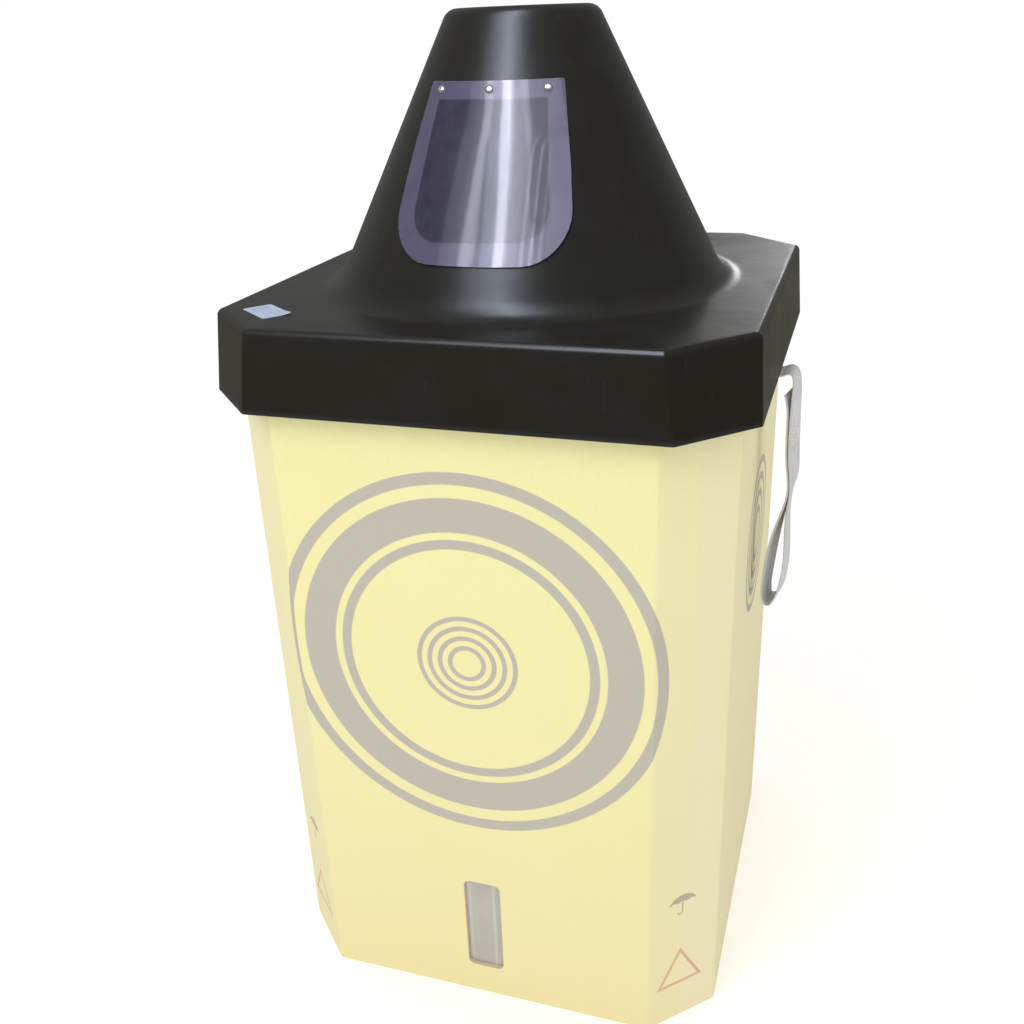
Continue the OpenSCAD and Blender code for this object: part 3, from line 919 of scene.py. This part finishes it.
def webbing_fabric():
    """Grey-white polyester webbing with a ribbed twill weave and rolled selvages."""
    cloth = Finish("webbing", (0.70, 0.69, 0.69), 0.85, 0.25, Sheen_Weight=0.3, Sheen_Roughness=0.5)
    u, v, _ = cloth.place("UV")
    rib = u * (1 / 0.0016)
    lean = (rib.math("FLOOR") * 0.5).fract().above(0.25, 0.01) * 2.0 - 1.0
    yarn = ((v * (1 / 0.0015) + rib.fract() * lean) * pi).sin().abs()
    groove = (rib.fract() - 0.5).abs() * 2.0
    height = yarn * 0.6 + groove.flipped().math("POWER", 0.5) * 0.4
    # painted shade: the low places of the weave darker
    cloth.paint((0.44, 0.43, 0.42), height.flipped().above(0.55, 0.35) * 0.7)
    selvage = u.abs().between(0.0152, 0.0165, 0.0006)
    cloth.paint((0.46, 0.45, 0.45), selvage * 0.6)
    # painted shade: thin dark lines where the webbing would crease
    pleats = (cloth.noise(24, 4, stretch=(0.5, 4, 0.5)) - 0.5).abs().above(0.02, 0.02)
    cloth.paint((0.54, 0.53, 0.52), pleats.flipped() * 0.35)
    cloth.paint((0.78, 0.77, 0.77), cloth.noise(38, 4).above(0.55, 0.25) * 0.35)
    cloth.paint((0.56, 0.53, 0.48), cloth.noise(11, 5).above(0.62, 0.2) * 0.3)
    cloth.relief(height, 0.00045)
    cloth.relief((1600, 3), 0.00015)
    return cloth


def smooth_path(stops, step=0.003, rounds=3):
    """The stops (x, z, twist) with their corners cut round, evenly spaced."""
    path = np.array(stops, float)
    for _ in range(rounds):
        cut = [p + (q - p) * share for p, q in zip(path, path[1:]) for share in (0.25, 0.75)]
        path = np.array([path[0]] + cut + [path[-1]])
    along = np.concatenate([[0], np.cumsum(np.linalg.norm(np.diff(path[:, :2], axis=0), axis=1))])
    even = np.linspace(0, along[-1], int(along[-1] / step) + 2)
    return even, np.array([np.interp(even, along, path[:, k]) for k in range(3)]).T


def web_frames(stops, side):
    """(distance along, place, across, outward) at each step of a strap, mirrored by side."""
    even, path = smooth_path(stops)
    tangents = np.gradient(path[:, :2], axis=0)
    frames = []
    for distance, (x, z, twist), (tx, tz) in zip(even, path, tangents):
        along = Vector((tx, 0, tz)).normalized()
        turn = radians(twist)
        across = Vector((sin(turn), cos(turn), 0))
        across = (across - along * across.dot(along)).normalized()
        outward = across.cross(along)
        frames.append([Vector((v.x * side, v.y, v.z)) for v in
                       (Vector((x, STRAP_Y, z)), across, outward)] + [distance])
    return frames


def ribbon(name, frames):
    """A strip of webbing swept along its frames."""
    points, places = [], []
    for place, across, outward, distance in frames:
        for u, out in WEB_SECTION:
            points.append(place + across * u * MM + outward * out * MM)
            places.append((u * MM, distance))
    made = add_object(name, points, tube_faces(len(frames), len(WEB_SECTION)))
    map_uv(made, places)
    return made


def stitches(name, frames, lines, face):
    """Threads sewn into a strap's face along lines of (u, v) to (u, v), v being distance along."""
    distances = [f[3] for f in frames]

    def spot(u, v):
        k = min(max(1, int(np.searchsorted(distances, v))), len(frames) - 1)
        share = (v - distances[k - 1]) / (distances[k] - distances[k - 1])
        place, across, outward = (frames[k - 1][i].lerp(frames[k][i], share) for i in range(3))
        return place + across * u + outward * face, outward.normalized()

    points, faces = [], []
    pitch, sides = 0.0044, 6
    rings = [(0.0, 0.25), (0.18, 0.65), (0.5, 0.8), (0.82, 0.65), (1.0, 0.25)]
    for (u0, v0), (u1, v1) in lines:
        count = int(hypot(u1 - u0, v1 - v0) / pitch)
        for k in range(count):
            (a, out), (b, _) = (spot(u0 + (u1 - u0) * s / count, v0 + (v1 - v0) * s / count)
                                for s in (k + 0.08, k + 0.82))
            along = (b - a).normalized()
            wide = along.cross(out).normalized()
            first = len(points)
            for share, radius in rings:
                centre = a.lerp(b, share) + out * (0.25 * MM * sin(pi * share))
                for s in range(sides):
                    angle = 2 * pi * s / sides
                    points.append(centre + (wide * cos(angle) + out * sin(angle))
                                  * radius * MM)
            faces += tube_faces(len(rings), sides, first)
    return add_object(name, points, faces)


# a loop's path as (x, z) in mm and its twist in degrees: out of the sling slot, down the sleeve,
# over the pivot, down the doubled run, round the open loop and back up to the seam
STRAP_STOPS = [
    (293, 871.3, 0), (299, 871.3, 0), (303.2, 871.3, 0), (304.75, 869, 0), (304.75, 850, 0),
    (304.75, 832, 0), (304.9, 826.5, 0), (307, 824.4, 0), (314, 824, 0), (320, 824.2, 0),
    (324, 825.6, 0), (328, 827.6, 1), (332, 827.4, 3), (335.3, 824.5, 5), (337.4, 819, 7),
    (338.4, 808, 9), (338.4, 790, 12), (338.8, 752, 14), (340.2, 719, 14), (342.2, 700, 12),
    (342.6, 687, 9), (340.6, 672, 2), (338.6, 655, 2), (338, 636, 3), (338.8, 617, 4),
    (340, 596, 5), (340.2, 574, 6), (338.6, 553, 8), (335.6, 535, 9), (330.5, 521, 10),
    (324, 516, 11), (319, 520, 12), (317.2, 531, 13), (318.2, 548, 14), (320, 569, 15),
    (322.6, 594, 15), (326.2, 616, 13), (330.4, 636, 9), (334.4, 653, 5), (337.4, 670, 2),
    (339.7, 685, 8), (339.2, 700, 12), (337, 719, 14), (335.6, 752, 14), (335.2, 779, 13),
    (333.4, 792, 14), (330.6, 802, 15)]


def add_straps(cloth, thread):
    """Both loops, each with the stitched box and cross that closes it."""
    stops = [(x * MM, z * MM, twist) for x, z, twist in STRAP_STOPS]
    for side, word in ((1, "right"), (-1, "left")):
        frames = web_frames(stops, side)
        strap = ribbon("webbing_" + word, frames)
        body = "loop_" + word
        give(strap, cloth, None, "strap_" + word)
        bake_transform(strap)
        v0 = next(f[3] for f in frames if abs(f[0].x) > 0.3375 and f[0].z < 0.792)
        v1, w = v0 + 0.052, 0.0145
        a, b, c, d = (-w, v0), (w, v0), (w, v1), (-w, v1)
        lines = [(a, b), (b, c), (c, d), (d, a), (a, c), (b, d)]
        outer = next(f[2].x for f in frames if f[3] >= v0) * side
        sewn = stitches("stitches_" + word, frames, lines, copysign(0.00115, outer))
        give(sewn, thread, body)


def add_sling(cloth):
    """The sling's run inside the drum: under the pad and up both walls."""
    wall = DRUM_HALF - SLEEVE_T - 0.00155
    low = 0.00935
    side = [(wall - 0.02, low, 0), (wall - 0.002, low + 0.0001, 0), (wall, low + 0.003, 0),
            (wall, 0.05, 0), (wall, 0.3, 0), (wall, 0.6, 0), (wall, 0.84, 0), (wall, 0.868, 0),
            (wall + 0.0004, 0.8708, 0), (0.2930, SLING_SLOT_Z, 0)]
    stops = [(-x, z, t) for x, z, t in side[::-1]] + [(0.0, low, 0)] + side
    sling = ribbon("sling_band", web_frames(stops, 1))
    give(sling, cloth, "drum", "sling_belt")


# ---- wire ----

def copper(name, lines=False):
    """Copper-coated steel wire, or a wall of it with its turns as fine lines."""
    wire = Finish(name, (0.83, 0.47, 0.32), 0.27, slot="coppered_wire", Metallic=1.0)
    wire.tint(0.55, 1.2, wire.noise(60, 4, stretch=(1, 1, 5)))
    wire.roughness(0.18, 0.3, wire.noise(300, 3, stretch=(1, 1, 3)))
    if lines:
        _, _, z = wire.place()
        sway = wire.noise(16, 3) * 0.006
        wire.relief(((z + sway) * (pi / 0.0016)).sin().abs(), 0.0007)
    else:
        wire.relief((700, 2), 0.00006)
    return wire


def add_wire():
    """The wound wire: a body with uneven layers, and on top of it the last turns, in a rosette."""
    rng = np.random.default_rng(7)
    body_top, layers, bore_r = COIL_TOP - 0.010, 52, 0.1640
    outer, inner = [], []
    for k in range(layers):
        z = COIL_LOW + (body_top - COIL_LOW) * (k + np.array([0.02, 0.3, 0.7])) / layers
        swell = rng.uniform(0.0, 0.0011)
        wide, narrow = COIL_R - 0.0012 + swell, bore_r - 0.0010 - swell * 0.8
        outer += [(COIL_R - 0.0022, z[0]), (wide, z[1]), (wide, z[2])]
        inner += [(bore_r, z[0]), (narrow, z[1]), (narrow, z[2])]
    top = [(COIL_R - 0.004, body_top), (0.25, body_top + 0.0006), (0.22, body_top),
           (0.19, body_top + 0.0006), (0.167, body_top)]
    winding = lathe("wire_winding", outer + top + inner[::-1], 120)
    give(winding, copper("coppered_winding", lines=True), "drum", "wire_coil")
    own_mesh(winding)

    turns, steps, sides, wire_r = 44, 80, 6, 0.0008
    loop_r, shift, lowest = 0.2195, 0.0535, body_top + 0.0008
    count = turns * steps
    points = []
    for k in range(count + 1):
        angle = 2 * pi * k / steps
        drift = angle / 11.3
        rise = lowest + (COIL_TOP - 0.0010 - lowest) * k / count
        wobble = 0.0012 * sin(angle * 0.37) + 0.0008 * sin(angle * 1.71)
        centre = Vector((shift * cos(drift) + (loop_r + wobble) * cos(angle),
                         shift * sin(drift) + (loop_r + wobble) * sin(angle), rise))
        out = Vector((cos(angle), sin(angle), 0))
        for s in range(sides):
            a = 2 * pi * s / sides
            points.append(centre + out * (wire_r * cos(a))
                          + Vector((0, 0, wire_r * sin(a))))
    top_turns = add_object("wire_top_turns", points, tube_faces(count + 1, sides))
    give(top_turns, copper("coppered_turns"), "retainer")


# ---- board, plastic and metal inside ----

def add_film():
    """The translucent film behind the sight slot, pushed a little into it."""
    low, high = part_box("sight_film")
    rows, columns = 49, 41
    front, back, places = [], [], []
    for r in range(rows):
        for c in range(columns):
            s, t = 2 * c / (columns - 1) - 1, 2 * r / (rows - 1) - 1
            x, z = high.x * s, SLOT_Z + (high.z - SLOT_Z) * t
            in_slot = (max(0, 1 - (x / (SLOT_W / 2)) ** 2)
                       * max(0, 1 - ((z - SLOT_Z) / (SLOT_H / 2)) ** 4))
            crease = sum(exp(-((x - at) / 0.0022) ** 2) for at in (-0.0205, 0.0140))
            y = low.y + 0.0002 - 0.0009 * in_slot - 0.0007 * crease * min(1, 4 * in_slot)
            y += 0.0003 * noise.noise(Vector((x * 60, 0, z * 25)))
            front.append((x, y, z))
            back.append((x, y + 0.0004, z))
            places.append((x, z))
    film = slab("slot_film", front, back, places, columns)
    finish = Finish("sight_film", (0.66, 0.63, 0.585), 0.3, 0.6)
    x, _, _ = finish.place("UV")
    cloud = finish.noise(30, 4, stretch=(1, 1, 0.5))
    finish.tint(0.85, 1.1, cloud)
    # painted highlight: light bands along the film's two creases, where they would catch the light
    crease_highlight = x.between(-0.0225, -0.0185, 0.003).most(x.between(0.012, 0.016, 0.003))
    finish.paint((0.80, 0.76, 0.66), crease_highlight * (cloud + 0.2) * 0.8)
    finish.roughness(0.22, 0.3, cloud)
    finish.set("Alpha", cloud * 0.12 + 0.78)
    finish.relief((300, 3), 0.0001)
    give(film, finish, "drum", "sight_film")


def tube_board():
    """Spirally wound paper tube with its seam."""
    tube = kraft_board("tube_board", (0.52, 0.40, 0.26))
    x, y, z = tube.place()
    wind = y.math("ARCTAN2", x) * (1 / (2 * pi)) + z * 7.0
    seam = (wind.fract() - 0.5).abs().above(0.493, 0.004)
    tube.paint((0.25, 0.18, 0.11), seam * 0.7)
    tube.relief(seam, -0.0006)
    return tube


def moulded(name, color, rough, grain=900):
    """Injection-moulded plastic with a fine spark-eroded grain."""
    plastic = Finish(name, color, rough, 0.4)
    plastic.roughness(rough - 0.06, 0.12, (40, 3))
    plastic.tint(0.8, 1.25, (25, 4))
    plastic.paint(tuple(min(1, c * 2.2 + 0.02) for c in color), plastic.edges() * 0.4)
    plastic.relief(plastic.noise(grain, 3), 0.00012)
    return plastic


def washer_metal():
    """Zinc-plated steel with fine turning marks about each outlet or rivet washer."""
    metal = Finish("washer_metal", (0.66, 0.67, 0.69), 0.3, Metallic=1.0)
    x, y, _ = metal.place()
    marks = (x.reach(y) * 9000).sin() * 0.5 + 0.5
    metal.roughness(0.22, 0.2, (200, 4))
    metal.tint(0.8, 1.15, (150, 4))
    metal.relief(marks, 0.00004)
    return metal


def add_inside():
    """Better materials and softened edges for the parts inside and for the outlet."""
    dress("inner_liner", kraft_board("liner_board", (0.55, 0.43, 0.28)))
    soften("base_tray", kraft_board("fibre_board", (0.46, 0.34, 0.21)), 0.001)
    soften("base_pad", kraft_board("pad_board", (0.52, 0.42, 0.29), flutes=True), 0.0015)
    soften("core_tube", tube_board(), 0.0008)
    soften("retainer_ring", moulded("retainer_plastic", (0.018, 0.018, 0.019), 0.5))
    soften("tail_clips", moulded("clip_plastic", (0.72, 0.72, 0.70), 0.4), 0.0003)
    dress("wire_tail", copper("coppered_tail"))
    washers = washer_metal()
    soften("rivet_washers", washers, 0.0002)
    soften("outlet_washer", washers, 0.0003)
    nylon = moulded("outlet_plastic", (0.016, 0.016, 0.017), 0.42)
    soften("outlet_bush", nylon)
    soften("outlet_nut", nylon, 0.0008)
    rubber = Finish("seal_rubber", (0.02, 0.02, 0.02), 0.75, 0.3)
    rubber.tint(0.8, 1.4, (120, 4))
    rubber.relief((800, 3), 0.0001)
    dress("outlet_seal", rubber)


add_camera()
add_stage()
add_sleeve()
hood = add_hood()
window = add_window()
rivets = add_rivets()
add_label(hood)
cloth = webbing_fabric()
thread = Finish("thread", (0.92, 0.91, 0.88), 0.7, 0.3, slot="webbing")
thread.tint(0.75, 1.1, (900, 3))
thread.relief((2500, 2), 0.0001)
add_straps(cloth, thread)
add_sling(cloth)
add_wire()
add_film()
add_inside()
add_lights(hood, window, rivets)
